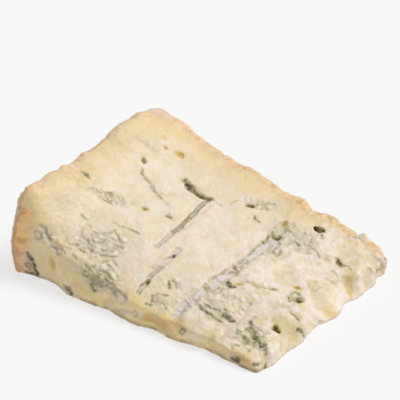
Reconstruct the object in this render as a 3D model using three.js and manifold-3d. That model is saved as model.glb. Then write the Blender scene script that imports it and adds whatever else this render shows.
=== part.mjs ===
// A wedge of gorgonzola: a slice of half a wheel, lying on one of its two cut faces.
// Millimetres, +Z up. The origin is on the floor, below the middle of the wedge's bounding box.
// -X is the rind of the wheel's curved side, and +X the thin end, near the wheel's axis.
// +Y is the rind of the wheel's flat end, and -Y the cut through the middle of the wheel.

import * as THREE from "three";
import { mergeVertices } from "three/addons/utils/BufferGeometryUtils.js";
import Module from "manifold-3d";

// Driving dimensions
const LENGTH = 135; // from the rind to the thin end
const WIDTH = 99; // half the height of the wheel
const RIND_HEIGHT = 43.8; // how thick the wedge is at the rind
const THIN_HEIGHT = 10.5; // how thick it is at the thin end
const WHEEL_RADIUS = 135;

// Edges
const FRONT_SHOULDER = 4; // radius, seen from above, of the upright edge of rind and front cut
const BACK_SHOULDER = 7; // and of the edge where the rind wraps the corner of the wheel
const CUT_RADIUS = 2.6; // radius of every other edge
const WORN_RADIUS = 4.2; // and of the upper front edge of the thin half
const UNDERCUT = 1.6; // how much of the rounded lower edge is below the floor, and trimmed off
const RIND_BULGE = 1.6; // how far the rind swells out at half its height

// How far the soft paste has sunk along the front cut
const SINK_AT_RIND = 10.5;
const SINK_IN_MIDDLE = 16.5;
const SINK_AT_THIN_END = 5.5;
const SINK_REACH_AT_RIND = 10; // how far behind the front cut the paste bends down
const SINK_REACH = 34;
const FRONT_HOLLOW = 2.8; // how far the foot of the front cut is set back beside the rind

// The thin end is a broken slope, steeper at both its corners than between them
const BREAK_SETBACK = 8.5;
const NOTCH_SETBACK = 3.5;
const CORNER_OVERHANG = 2.6;
const FLUTE_DEPTH = 1.4;
const FLUTE_PITCH = 6;

// Relief of the faces, as the height of the bumps and the distance between them
const RIND_SWELL = { height: 1.0, pitch: 14 };
const RIND_RELIEF = { height: 0.8, pitch: 6 };
const PASTE_RELIEF = { height: 0.6, pitch: 12 };
const CRUMB_RELIEF = { height: 0.8, pitch: 6.5 }; // of the crumbling paste of the thin half

// Cells along the length, the width and the height: about 2.9 mm each
const CELLS = { x: 46, y: 35, z: 14 };

// Cavities that open in the upper face: the middle of the mouth, the half widths along X and Y,
// the depth, and the turn from +X towards +Y in degrees
const UPPER_CAVITIES = [
  { at: [-17, 16.6], half: [4.4, 2.2], depth: 2.2, turn: -4 }, // the thick dark vein
  { at: [-9, 16.5], half: [6, 1.7], depth: 1.6, turn: 8 },
  { at: [-5, 8], half: [8, 1.2], depth: 1.0, turn: 86 }, // needle channel behind the middle
  { at: [-4, -7], half: [8, 1.1], depth: 0.9, turn: 90 },
  { at: [3, -27], half: [9, 1.2], depth: 1.0, turn: 92 }, // needle channel in front of it
  { at: [2, -41], half: [4, 1.5], depth: 1.4, turn: 96 },
  { at: [26.5, 20], half: [8, 1.5], depth: 1.2, turn: 90 }, // needle channel of the thin half
  { at: [28, 2], half: [9, 1.2], depth: 1.0, turn: 88 },
  { at: [28, -14], half: [3, 2], depth: 1.7, turn: 80 },
  { at: [29, -30], half: [9, 1.4], depth: 1.0, turn: 88 },
  { at: [-41, 13], half: [2.2, 1.4], depth: 1.8, turn: -40 },
  { at: [-33, 30], half: [2.1, 1.6], depth: 1.8, turn: -60 },
  { at: [-40, 26.8], half: [2.4, 1.1], depth: 1.0, turn: 20 },
  { at: [-23, -10], half: [2, 1.4], depth: 1.4, turn: 0 },
  { at: [-50, -17], half: [3.2, 1.4], depth: 1.4, turn: 10 },
  { at: [7.5, 27.8], half: [2.4, 1.7], depth: 1.6, turn: 20 },
  { at: [38.2, 36.8], half: [2.8, 2.1], depth: 3, turn: -20 }, // the deepest hole
  { at: [31, 16], half: [2.6, 1.8], depth: 1.5, turn: 30 },
  { at: [57, 26.5], half: [5, 1.4], depth: 1.7, turn: 10 },
  { at: [49, -1], half: [2.8, 2], depth: 2, turn: 20 },
  { at: [57, -10], half: [3.2, 2], depth: 1.8, turn: 70 },
  { at: [61, -28.5], half: [3, 2.2], depth: 2.4, turn: 15 },
  { at: [32, -22], half: [4, 1.7], depth: 1.5, turn: 10 },
  { at: [54, -38], half: [3.4, 1.8], depth: 1.6, turn: -30 },
  { at: [59, -43], half: [3, 1.5], depth: 1.5, turn: -40 },
];

// Cavities that open in the front cut: the middle of the mouth along X and Z, and the half sizes
const FRONT_CAVITIES = [
  { at: [-43, 10], half: [1.7, 2.6], depth: 2.2 },
  { at: [-57, 4], half: [2.6, 3.2], depth: 2 },
  { at: [-34, 3.5], half: [2.2, 1.4], depth: 1.6 },
  { at: [-18, 13], half: [4, 2.6], depth: 1.6 },
  { at: [-9, 11.5], half: [3.4, 2], depth: 1.4 },
  { at: [57, 4.5], half: [3, 1.8], depth: 1.8 },
];

const clamp = THREE.MathUtils.clamp;
const smoothstep = THREE.MathUtils.smoothstep;
const lerp = THREE.MathUtils.lerp;

// A fixed value from -1 to 1 for each whole-numbered place
function lattice(i, j, k) {
  let h = Math.imul(i, 374761393) ^ Math.imul(j, 668265263) ^ Math.imul(k, 2147483647);
  h = Math.imul(h ^ (h >>> 13), 1274126177);
  return ((h ^ (h >>> 16)) >>> 0) / 2147483647.5 - 1;
}

// Smooth noise from -1 to 1 with bumps about one unit apart
function noise(x, y, z) {
  const [i, j, k] = [Math.floor(x), Math.floor(y), Math.floor(z)];
  const [u, v, w] = [x - i, y - j, z - k].map((t) => t * t * (3 - 2 * t));
  const along = (b, c) => lerp(lattice(i, j + b, k + c), lattice(i + 1, j + b, k + c), u);
  return lerp(lerp(along(0, 0), along(1, 0), v), lerp(along(0, 1), along(1, 1), v), w);
}

// Two octaves of noise at a point, for bumps of a given pitch
function relief(p, pitch) {
  const [x, y, z] = [p.x / pitch, p.y / pitch, p.z / pitch];
  return 0.7 * noise(x, y, z) + 0.4 * noise(2 * x + 31, 2 * y, 2 * z);
}

// 1 close to a place and 0 further than its reach from it
function near(value, place, reach) {
  return Math.exp(-(((value - place) / reach) ** 2));
}

// Places where the upper face stands above or below its plain slope
const SWELLINGS = [
  { at: [-62, 26], reach: [20, 19], height: 7 }, // the hump at the rind
  { at: [-36, 52], reach: [16, 16], height: -0.8 },
  { at: [24, 50], reach: [7, 14], height: 1.4 },
];

// Crags along the edge of the upper face and the wheel's flat end, placed by X
const FLAT_END_CRAGS = [
  { at: -50, reach: 4, height: 0.9 },
  { at: -16, reach: 2.6, height: -1.3 },
  { at: 4, reach: 6, height: -1.0 },
  { at: 23.6, reach: 3, height: 1.0 },
  { at: 27.2, reach: 2.0, height: -4.0 },
  { at: 39, reach: 3, height: 1.0 },
  { at: 43, reach: 2.2, height: -0.8 },
  { at: 48.8, reach: 2.1, height: -3.2 },
  { at: 53.4, reach: 2.6, height: 2.4 },
  { at: 67, reach: 4, height: -3.0 },
];

// Crags along the edge of the upper face and the wheel's round side, placed by Y
const ROUND_SIDE_CRAGS = [
  { at: -46, reach: 4, height: 3.2 },
  { at: -38, reach: 3, height: -0.8 },
  { at: -28, reach: 4, height: 1.0 },
  { at: -15, reach: 3, height: -1.3 },
  { at: -2, reach: 2.5, height: -0.8 },
  { at: 13, reach: 7, height: 1.5 },
];

// How far the foot of the front cut is set back, placed by X
const FRONT_FOOT = [
  { at: -47, reach: 9, height: 1.2 },
  { at: -13, reach: 4, height: 1.0 },
  { at: 4, reach: 6, height: -1.2 },
  { at: 12, reach: 4, height: 1.0 },
  { at: 38, reach: 9, height: 2.3 },
];

// How far the foot of the broken thin end stands out, placed by Y
const BREAK_FOOT = [
  { at: -46, reach: 4, height: -1.6 },
  { at: -23, reach: 4, height: 1.3 },
  { at: 6, reach: 6, height: 1.8 },
  { at: 21, reach: 4, height: 1.6 },
  { at: 28, reach: 4, height: 0.8 },
  { at: 43, reach: 4, height: -1.2 },
];

// The heights of some crags, added up at one place along their edge
function heightOf(crags, place) {
  return crags.reduce((sum, crag) => sum + crag.height * near(place, crag.at, crag.reach), 0);
}

// How far the front edge of the upper face has sunk
function sinkAtFront(x) {
  const from_rind = smoothstep(x, -LENGTH / 2, -46);
  const to_thin_end = smoothstep(x, -5, LENGTH / 2);
  return lerp(SINK_AT_RIND, lerp(SINK_IN_MIDDLE, SINK_AT_THIN_END, to_thin_end), from_rind);
}

// Height of the upper face above the floor
function upperHeight(x, y) {
  const slope = lerp(RIND_HEIGHT, THIN_HEIGHT, x / LENGTH + 0.5);
  const from_front = y + WIDTH / 2;
  const inward = smoothstep(x, -64, -38);
  const reach = lerp(SINK_REACH_AT_RIND, SINK_REACH, inward);
  const bend = clamp(1 - from_front / reach, 0, 1) ** 2;
  const sunk = sinkAtFront(x) * lerp(bend, 1 - from_front / WIDTH, 0.4 * inward);
  const raised = SWELLINGS.reduce(
    (sum, s) => sum + s.height * near(x, s.at[0], s.reach[0]) * near(y, s.at[1], s.reach[1]),
    0,
  );
  const flat_end = smoothstep(y, 34, 46) * heightOf(FLAT_END_CRAGS, x);
  const round_side = (1 - smoothstep(x, -60, -46)) * heightOf(ROUND_SIDE_CRAGS, y);
  return slope - sunk + raised + flat_end + round_side;
}

// A point of a plain block, moved onto the block's rounded edges
function roundEdges(p, half, radius) {
  const inner = half.clone().subScalar(radius);
  const core = p.clone().clamp(inner.clone().negate(), inner);
  const out = p.clone().sub(core);
  if (out.lengthSq() > 0) out.setLength(radius);
  return core.add(out);
}

// The same point with the two upright edges at the rind rounded further, as seen from above
function roundShoulders(p, half) {
  const radius = p.y < 0 ? FRONT_SHOULDER : BACK_SHOULDER;
  const core_x = Math.max(p.x, radius - half.x);
  const core_y = clamp(p.y, radius - half.y, half.y - radius);
  const [out_x, out_y] = [p.x - core_x, p.y - core_y];
  if (out_x * out_y === 0) return p;
  const shrink = Math.max(Math.abs(out_x), Math.abs(out_y)) / Math.hypot(out_x, out_y);
  return new THREE.Vector3(core_x + out_x * shrink, core_y + out_y * shrink, p.z);
}

// How far the broken thin end is set back at its upper edge, from one corner to the other
function breakSetback(y) {
  const middle = smoothstep(y, -18, -4) * (1 - smoothstep(y, 21, 29));
  const notch = smoothstep(y, -37, -27) * (1 - smoothstep(y, -24, -19));
  return 0.8 + BREAK_SETBACK * middle + NOTCH_SETBACK * notch - CORNER_OVERHANG * near(y, WIDTH / 2, 7);
}

// The wedge's smooth form: a block with rounded edges, bent to the wedge
function wedgePoint(p) {
  const half = new THREE.Vector3(LENGTH / 2, WIDTH / 2, RIND_HEIGHT / 2);
  const worn = p.y < 0 && p.z > 0 ? smoothstep(p.x, 5, 45) : 0;
  const block = roundShoulders(roundEdges(p, half, lerp(CUT_RADIUS, WORN_RADIUS, worn)), half);
  const share = (block.z + half.z) / RIND_HEIGHT; // 0 at the floor, 1 at the upper face
  const z = share * upperHeight(block.x, block.y) - UNDERCUT * (1 - share);

  const lean = WHEEL_RADIUS - Math.sqrt(WHEEL_RADIUS ** 2 - Math.max(z, 0) ** 2);
  const bulge = RIND_BULGE * Math.sin(Math.PI * share);
  const at_rind = 1 - smoothstep(block.x, -LENGTH / 2, -LENGTH / 6);
  const at_thin_end = smoothstep(block.x, 0, LENGTH / 2) ** 2;
  const end = heightOf(BREAK_FOOT, block.y) - breakSetback(block.y) * share;
  const x = block.x + (lean - bulge) * at_rind + end * at_thin_end;

  const at_front = 1 - smoothstep(block.y, -WIDTH / 2, -WIDTH / 4);
  const beside_rind = smoothstep(x, -LENGTH / 2, -58) * (1 - smoothstep(x, -44, -34));
  const set_back = FRONT_HOLLOW * beside_rind + heightOf(FRONT_FOOT, block.x);
  const y = block.y + set_back * (1 - share) * at_front;
  return new THREE.Vector3(x, y, z);
}

// How far bumps of one size lift the surface at a point
function bumps(p, { height, pitch }) {
  return height * relief(p, pitch);
}

// How far the relief lifts the surface at a point, along its normal
function reliefHeight(p, normal) {
  const on_rind = Math.max(smoothstep(-normal.x, 0.2, 0.7), smoothstep(normal.y, 0.3, 0.8));
  const on_nose = smoothstep(normal.x, 0.2, 0.6) * smoothstep(p.x, LENGTH / 2 - 22, LENGTH / 2 - 8);
  const crumbling = smoothstep(p.x, 18, 30) * smoothstep(normal.z, 0.5, 0.8);
  const rind = bumps(p, RIND_SWELL) + bumps(p, RIND_RELIEF);
  const paste = bumps(p, PASTE_RELIEF) + bumps(p, CRUMB_RELIEF) * crumbling;
  const flutes = FLUTE_DEPTH * noise(p.y / FLUTE_PITCH, p.z / 30, 7.3);
  return lerp(paste, rind, on_rind) + flutes * on_nose;
}

// The whole wedge, before its underside is trimmed flat
function wedgeGeometry() {
  const block = new THREE.BoxGeometry(LENGTH, WIDTH, RIND_HEIGHT, CELLS.x, CELLS.y, CELLS.z);
  block.deleteAttribute("normal");
  block.deleteAttribute("uv");
  const geometry = mergeVertices(block, 1e-3);
  const position = geometry.getAttribute("position");
  const p = new THREE.Vector3();
  for (let i = 0; i < position.count; i++) {
    wedgePoint(p.fromBufferAttribute(position, i)).toArray(position.array, 3 * i);
  }
  geometry.computeVertexNormals();
  const normals = geometry.getAttribute("normal");
  const normal = new THREE.Vector3();
  for (let i = 0; i < position.count; i++) {
    p.fromBufferAttribute(position, i);
    normal.fromBufferAttribute(normals, i);
    p.addScaledVector(normal, reliefHeight(p, normal)).toArray(position.array, 3 * i);
  }
  geometry.deleteAttribute("normal");
  return geometry;
}

const wasm = await Module();
wasm.setup();

// A closed geometry as a solid that can be cut
function solidFrom(geometry) {
  const merged = mergeVertices(geometry, 1e-4);
  return new wasm.Manifold(
    new wasm.Mesh({
      numProp: 3,
      vertProperties: new Float32Array(merged.getAttribute("position").array),
      triVerts: new Uint32Array(merged.index.array),
    }),
  );
}

// A solid as a geometry that can be shown
function geometryFrom(solid) {
  const { vertProperties, triVerts } = solid.getMesh();
  return new THREE.BufferGeometry()
    .setAttribute("position", new THREE.BufferAttribute(new Float32Array(vertProperties), 3))
    .setIndex(new THREE.BufferAttribute(new Uint32Array(triVerts), 1));
}

// Everything below the floor
function floorBlock() {
  const depth = 20;
  const block = new THREE.BoxGeometry(2 * LENGTH, 2 * WIDTH, depth).translate(0, 0, -depth / 2);
  block.deleteAttribute("normal");
  block.deleteAttribute("uv");
  return solidFrom(block);
}

// A cavity's lumpy rounded form, round the origin
function cavityGeometry({ half, depth }) {
  const blob = new THREE.IcosahedronGeometry(1, 1);
  blob.deleteAttribute("normal");
  blob.deleteAttribute("uv");
  const geometry = mergeVertices(blob, 1e-4);
  const position = geometry.getAttribute("position");
  const p = new THREE.Vector3();
  for (let i = 0; i < position.count; i++) {
    p.fromBufferAttribute(position, i);
    const lump = 1 + 0.22 * noise(3 * p.x + half[0], 3 * p.y + half[1], 3 * p.z + depth);
    p.multiplyScalar(lump).toArray(position.array, 3 * i);
  }
  return geometry.scale(half[0], half[1], depth);
}

// The cavities, each turned and moved to its place
function cavities() {
  const upper = UPPER_CAVITIES.map((c) => {
    const [x, y] = c.at;
    return cavityGeometry(c)
      .rotateZ(THREE.MathUtils.degToRad(c.turn))
      .translate(x, y, upperHeight(x, y));
  });
  const front = FRONT_CAVITIES.map((c) => {
    const [x, z] = c.at;
    return cavityGeometry(c)
      .rotateX(Math.PI / 2)
      .translate(x, -WIDTH / 2, z);
  });
  return [...upper, ...front].map(solidFrom);
}

// The finished solid, with its bounding box centred over the origin
function cheeseSolid() {
  const solid = wasm.Manifold.difference([solidFrom(wedgeGeometry()), floorBlock(), ...cavities()]);
  const { min, max } = solid.boundingBox();
  return solid.translate([-(min[0] + max[0]) / 2, -(min[1] + max[1]) / 2, -min[2]]);
}

const paste = new THREE.MeshStandardMaterial({ color: 0xefdfb9, roughness: 0.5, metalness: 0 });
const cheese = new THREE.Mesh(geometryFrom(cheeseSolid()), paste);
cheese.geometry.computeVertexNormals();
cheese.name = "cheese_wedge";

const gorgonzola = new THREE.Group();
gorgonzola.add(cheese);
export default gorgonzola;
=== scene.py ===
# A wedge of gorgonzola on a pale floor, with its rind, its veins and its soft, crumbling paste.
# Places on the cheese are in millimetres, in the part's own frame: -X is the rind of the wheel's round side,
# +X the thin broken end, +Y the rind of the wheel's flat end and -Y the cut through the middle of the wheel.
import math

import bpy
import numpy as np
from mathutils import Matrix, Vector
from mathutils.bvhtree import BVHTree
from mathutils.geometry import delaunay_2d_cdt


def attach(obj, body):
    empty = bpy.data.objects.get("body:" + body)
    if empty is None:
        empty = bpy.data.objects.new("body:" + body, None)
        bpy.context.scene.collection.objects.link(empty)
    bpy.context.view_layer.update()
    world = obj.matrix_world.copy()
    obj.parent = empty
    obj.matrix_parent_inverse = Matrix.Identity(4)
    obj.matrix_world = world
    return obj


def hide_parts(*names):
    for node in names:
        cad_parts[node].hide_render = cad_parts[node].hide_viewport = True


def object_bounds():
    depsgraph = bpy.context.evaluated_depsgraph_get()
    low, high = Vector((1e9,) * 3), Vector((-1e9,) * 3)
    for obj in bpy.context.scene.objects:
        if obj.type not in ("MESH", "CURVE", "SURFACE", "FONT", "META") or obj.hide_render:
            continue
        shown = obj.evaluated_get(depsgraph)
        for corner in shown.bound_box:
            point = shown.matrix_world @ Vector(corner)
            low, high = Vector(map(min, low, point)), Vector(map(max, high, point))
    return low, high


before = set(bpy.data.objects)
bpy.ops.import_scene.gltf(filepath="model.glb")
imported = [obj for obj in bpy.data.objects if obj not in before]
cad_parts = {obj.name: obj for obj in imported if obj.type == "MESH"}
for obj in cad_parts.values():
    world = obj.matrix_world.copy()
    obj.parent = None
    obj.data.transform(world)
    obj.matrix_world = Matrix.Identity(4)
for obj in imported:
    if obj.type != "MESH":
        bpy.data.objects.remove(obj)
cad_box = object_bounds()

MM = 0.001

# The view of the photograph
CAMERA_AZIMUTH = 36.7
CAMERA_ELEVATION = 31.75
CAMERA_DISTANCE = 820
CAMERA_LENS = 166.9
AIM_RIGHT = 0.4
AIM_UP = 31.7
SENSOR_WIDTH = 36

# Light and floor
KEY_ENERGY = 2.2
KEY_SPREAD = 30
KEY_WAY = (-0.45, -0.3, -0.85)
SKY_STRENGTH = 0.44
FLOOR_REACH = 3.0

# The surface
LENGTH = round((cad_box[1][0] - cad_box[0][0]) / MM, 1)
WIDTH = round((cad_box[1][1] - cad_box[0][1]) / MM, 1)
VOXEL = 0.62
SMOOTHING_STEPS = 36
SHRINKING = 0.55
SWELLING = -0.58
RESTING_HEIGHT = 0.35  # places lower than this lie on the floor
UNDERSIDE_PITCH = 4
MARK_STEP = 1.5  # between the places found along a mark
WHEEL_RADIUS = 135
EDGE_THICKNESS = 2.6
RIND_THICKNESS = 9.2
RIM_STEPS = 8  # rounds of averaging that spread the rind over its rim
RIM_DEPTH = 12
LUMP = (5.6, 2.3, 2.3)
LUMP_TURN = -25
HOLLOW_DEPTH = 1.1
VEIN_DEPTH = 0.5
CHANNEL_DEPTH = 0.7

# What some of the fields say away from any mark, where the others say 0
AWAY = {"hollow": -2.0, "foot": 9.0, "crevice": 1.0, "line_side_a": 3.0, "line_side_b": 3.0}

# Needle channels and seams of mould on the upper face: width, darkness, places passed through
UPPER_VEINS = [
    # The thick dark vein and its thinning tail
    (3.2, 0.9, (-22, 18.5), (-19.5, 18), (-17.5, 17)),
    (2.6, 0.85, (-17.5, 17), (-14, 16.5), (-11, 17)),
    (1.6, 0.75, (-11, 17), (-8, 17.5), (-6, 18)),
    (0.9, 0.4, (-6, 18), (-3, 18), (-1, 17.5)),
    # The long seam to its left
    (1.3, 0.55, (-39, 9), (-37, 7), (-35, 6)),
    (2.2, 0.5, (-35, 6), (-33, 6), (-30, 5)),
    (2, 0.5, (-30, 4.6), (-27, 3), (-24, 2), (-22, 1)),
    (1.5, 0.35, (-22, 1), (-19, 0), (-16, -0.5)),
    (0.8, 0.3, (-25, 4.5), (-23, 4), (-20, 4)),
    # A faint smear behind it
    (2.6, 0.28, (-48, 17), (-46, 18), (-44, 20), (-42, 21), (-40, 22)),
    # Short streaks near the rind
    (2, 0.85, (-51.5, -15.3), (-50.5, -15)),
    (1.2, 0.6, (-53, -16), (-51, -15), (-49, -15.5)),
    (1.2, 0.5, (-40, -32), (-39, -32), (-37, -31.5)),
    (1.2, 0.4, (-27, -26), (-24, -26), (-21, -24.5)),
    (1.3, 0.5, (-20, -24), (-18, -24), (-15, -24)),
    (2.2, 0.75, (-12.5, -6), (-11.5, -6)),
    (1, 0.4, (-13.5, -4), (-12, -6), (-10, -6.5)),
    (0.8, 0.4, (1, 22), (2, 26)),
    (1, 0.65, (13.5, 23.5), (14.5, 21.5), (17, 22)),
    (0.9, 0.22, (-3, -22), (-1, -21), (1, -19), (3, -17.5)),
    # Dark mould in a hollow near the rind, and strokes beside it
    (2.2, 1, (7, 27.5), (8.4, 28)),
    (1, 0.55, (9, 27.5), (9, 31), (11, 34), (12, 36)),
    (0.8, 0.45, (9, 27), (12, 29), (15, 33)),
    # Tangle of the first cluster
    (1, 0.5, (-45, -20), (-44, -18), (-43, -17), (-41, -16)),
    (0.9, 0.55, (-40, -18), (-38, -18), (-36, -18), (-34, -18)),
    (0.8, 0.5, (-41, -15), (-38, -16), (-37, -17)),
    (0.9, 0.55, (-40, -14), (-39, -12), (-38, -13), (-37, -13), (-35, -12), (-33, -13)),
    (0.8, 0.45, (-39, -13), (-37, -14), (-35, -14)),
    (1.1, 0.5, (-36, -17.5), (-35, -15.5), (-33, -16)),
    # Strokes of the second cluster
    (0.9, 0.5, (-31, -39), (-29, -40), (-27, -40), (-26, -40)),
    (0.8, 0.45, (-30, -37), (-28, -38), (-27, -38)),
    (1.1, 0.5, (-31, -35), (-29, -34), (-27, -33)),
    (1, 0.5, (-27, -32), (-25, -31), (-24, -29), (-21, -30), (-20, -31)),
    (0.9, 0.5, (-27, -42), (-25, -42), (-24, -41)),
    (1.2, 0.6, (-23, -39), (-21, -38), (-19, -37)),
    (1.2, 0.6, (-22, -41), (-19, -40), (-16, -38)),
    (0.9, 0.4, (-25, -45), (-23, -43)),
    (1, 0.5, (-19.5, -43), (-18, -42)),
    (1, 0.5, (-17, -43), (-15, -43)),
    (1.1, 0.55, (-16, -40), (-14, -41)),
    (0.9, 0.4, (-20, -35), (-18, -34)),
    (1.2, 0.6, (-30.5, -44), (-29, -44)),
    (1.3, 0.5, (-36, -45), (-34, -44), (-33, -43)),
    (1.2, 0.3, (-42, -43), (-39, -43)),
    # Between the second channel and the third
    (1, 0.7, (10, -35), (11, -36), (12, -37)),
    (0.9, 0.5, (11, -34), (13, -34), (15, -36)),
    (1, 0.5, (9, -43), (11, -42), (14, -41)),
    (1.3, 0.65, (7.5, -48), (10, -47.5), (9, -46), (8, -44)),
    (1, 0.5, (10, -46), (12, -45), (15, -45), (17, -46)),
    (0.9, 0.45, (21, -47), (22, -46), (23, -45)),
    (0.9, 0.25, (11, -31), (13, -29)),
    # Side by side beyond the third channel
    (1.6, 0.85, (28, -38), (31, -39), (33, -39), (37, -40)),
    (1.1, 0.7, (37, -40), (41, -40)),
    (1.2, 0.55, (30, -36), (33, -36), (37, -36)),
    (1.3, 0.75, (38, -34), (40, -34), (42, -33)),
    (2, 0.85, (40, -36), (43, -37), (45, -37)),
    (0.9, 0.4, (33, -31), (35, -31)),
    (1.2, 0.45, (50, -30), (53, -29)),
    # A row of dark dashes across the thin half
    (1.8, 0.95, (30, -20), (31, -21), (33, -21), (34, -21)),
    (1.6, 0.5, (36, -15), (38, -14), (41, -14)),
    (1.3, 0.5, (42, -12), (45, -11)),
    (1.6, 0.65, (45, -10), (47, -8.5)),
    (1.4, 0.75, (53, -7.5), (55, -10)),
    (2.2, 0.95, (56, -7), (57, -5.5), (56, -4)),
    (1.5, 0.7, (52, -4.5), (53, -2.5), (54.5, -2)),
    (1.2, 0.6, (52.5, -6), (54, -6)),
    (1.5, 0.8, (60, -17), (62, -17), (65, -18)),
    # The cluster at the thin corner
    (1.9, 0.85, (54, -41.5), (55.5, -42), (57, -42.3)),
    (2.3, 1, (56.5, -38.5), (58.5, -39.5), (61, -40), (62.5, -40.3)),
    (1.8, 0.35, (62.5, -40.5), (64, -41.5), (66, -43), (67, -45)),
    (1.8, 0.8, (64.5, -41.8), (65.7, -42.5)),
    (1.8, 0.8, (66.5, -44.5), (67, -45.5)),
    (1, 0.5, (49, -41), (49, -40), (51, -40), (51, -42), (50, -42), (49, -41)),
    (1.3, 0.55, (53, -46), (54, -46)),
    (1.3, 0.5, (58, -45.5), (59, -46)),
    (1.5, 0.35, (52, -37), (54, -35.5)),
    (1.4, 0.6, (56, -34), (57.2, -34)),
    (1.3, 0.45, (58.5, -34), (60, -33)),
    (1.3, 0.45, (55.5, -36.5), (56.5, -37)),
    (1.6, 0.45, (51.5, -47), (53, -48.5)),
    # Left edge of the third channel, and spots on it
    (1.6, 0.8, (25, 18), (26, 14), (26, 12)),
    (1.5, 0.6, (26, 12), (25.5, 7), (26, 2)),
    (1.3, 0.5, (26, 2), (26.3, -2), (26, -6)),
    (1.4, 0.5, (25.5, -14), (24.5, -20), (23.5, -25)),
    (1.2, 0.3, (23, -30), (22, -36), (20, -43)),
    (1.2, 0.3, (29.5, -18), (29, -25), (28, -31)),
    (1.8, 0.8, (26, -9.5), (27, -10), (28, -11)),
    (0.8, 0.5, (26, -5), (26, -2), (28, -2), (27, -5)),
    (1.4, 0.5, (24, -29), (24, -27), (26, -28), (26, -30), (24, -29)),
    # Right of the third channel, toward the rind
    (1.6, 0.9, (24.5, 20.5), (26, 20), (28, 20), (29, 21)),
    (1.6, 0.75, (32, 10), (34, 9.5)),
    (0.9, 0.5, (32, 12), (32, 14), (34, 13), (35, 11), (35, 9)),
    (1.6, 0.85, (35, 23), (37, 23)),
    (0.9, 0.4, (40, 26), (42, 25), (44, 25), (46, 24.5), (47.5, 23)),
    (0.8, 0.35, (34, 25), (36, 27), (38, 27), (41, 28)),
    (0.8, 0.35, (38, 22), (40, 20), (43, 22)),
    (0.7, 0.3, (33, 26), (35, 23), (38, 24)),
    (0.9, 0.35, (37, 18), (40, 22)),
    (0.8, 0.3, (37, 32), (41, 26)),
    (0.9, 0.35, (35, 30), (37, 30)),
    (0.8, 0.25, (44, 20), (47, 18)),
    (1, 0.4, (56, 21), (59, 20.5), (60.5, 18), (59, 15.5), (56.5, 15.5)),
    (1, 0.4, (54, 10), (53.5, 6.5), (55, 4), (57.5, 4.5), (58, 8)),
    (1.4, 0.5, (25, 28), (25, 30)),
    (1, 0.4, (26, 28), (28, 26)),
    (1, 0.4, (8, 27), (10, 31), (11, 35), (14, 37)),
    (1.2, 0.7, (41.5, 34), (42.5, 33.5)),
    (1.2, 0.9, (54, 28), (55, 27), (57, 26.5)),
    (0.9, 0.55, (57, 27), (60, 28), (62, 27)),
    (0.6, 0.3, (58, 36.5), (61, 38)),
    (0.8, 0.6, (66.5, 33.5), (67.5, 34.5)),
]

# The three channels left by the needles: width, darkness of their two edges, places passed through
CHANNELS = [
    (2.2, 0.62, (-7.5, 17), (-7, 10), (-6, 2)),
    (1.9, 0.75, (-6, 2), (-5, -6), (-5, -12)),
    (1.8, 0.4, (-5, -12), (-4.5, -19), (-5, -24)),
    (2.8, 0.22, (3, -19), (2.8, -25), (2.6, -31)),
    (2.1, 0.5, (2.6, -31), (2, -36), (1.5, -40), (1.5, -43), (2, -45.5)),
    (4.2, 0.1, (28, 20), (28, 10), (27, 2), (27, -6), (27, -14)),
    (4.8, 0.05, (27, -14), (27, -21), (26, -27), (24.5, -34), (23, -42), (22, -46)),
]

# Open hollows in the paste, with olive walls: middle, half size, darkness, turn
HOLLOWS = [
    ((-22.5, -9.5), (2.3, 1), 0.3, 15),
    ((34.5, -18.5), (2.6, 1), 0.35, 20),
    ((40, -13.5), (2.5, 0.8), 0.3, 10),
    ((46, -9.5), (1.8, 0.8), 0.5, 30),
    ((51.5, 0.3), (2.2, 1.1), 0.65, 20),
    ((55, 10), (1, 0.8), 0.5),
    ((56, -6), (2.8, 1.8), 0.8, 20),
    ((61, -28.5), (2.4, 1.3), 1.6, 11),
    ((60, -27.5), (2, 1.1), 1.1, -48),
    ((7.8, 27.5), (2.2, 1.6), 1, 20),
    ((25.5, 29.5), (1.5, 1.5), 0.5),
    ((26.5, 20), (2.2, 1.2), 0.35, 10),
    ((37.2, 36.8), (2.3, 1.6), 2.6, -20),
    ((39.3, 38.6), (1.2, 1.6), 0.9),
    ((55.5, 27), (1.2, 0.8), 0.9),
    ((25, -28.5), (1.2, 1.1), 0.4),
    ((27, -10.5), (1.5, 1.2), 0.8, 80),
]

# Soft grey-green or lilac bloom, where the paste is crumbly: middle, half size, strength, turn
BLOOMS = [
    ((-38, -16), (8, 4), 0.85, 20),
    ((-25, -38), (10, 7), 1.1, 20),
    ((-18, -41), (6, 4), 0.6, 20),
    ((-40, -45), (7, 2.5), 0.35, 10),
    ((-44, 20), (8, 2.5), 0.35, 25),
    ((-33, -12), (9, 4), 0.5, 10),
    ((-6, -16), (3, 10), 0.45),
    ((-15, 17), (7, 3.5), 0.5),
    ((2, -34), (3, 9), 0.45),
    ((11, -36), (7, 4), 0.5, 10),
    ((13, -45), (8, 3), 0.65, 5),
    ((24, -38), (4, 9), 0.8),
    ((35, -37), (9, 5), 0.85, -10),
    ((27, -26), (3.5, 16), 0.7, 4),
    ((27, -3), (3.5, 18), 0.6),
    ((30, 24), (9, 8), 1.2, 30),
    ((33, 11), (6, 5), 1.05, 30),
    ((37, 26), (9, 6), 0.7, 20),
    ((40, -14), (9, 3.5), 0.6, 30),
    ((40, -26), (17, 14), 0.55, 10),
    ((44, 4), (14, 12), 0.3, 10),
    ((10, 33), (9, 4), 0.85, 30),
    ((39, 38), (5, 3.5), 0.7, 10),
    ((53, 38), (7, 4), 0.2, 20),
    ((55, -39), (9, 6), 1.05),
    ((57, -14), (8, 5), 0.65, 10),
    ((70, 44), (3.5, 4), 0.9),
]

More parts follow.
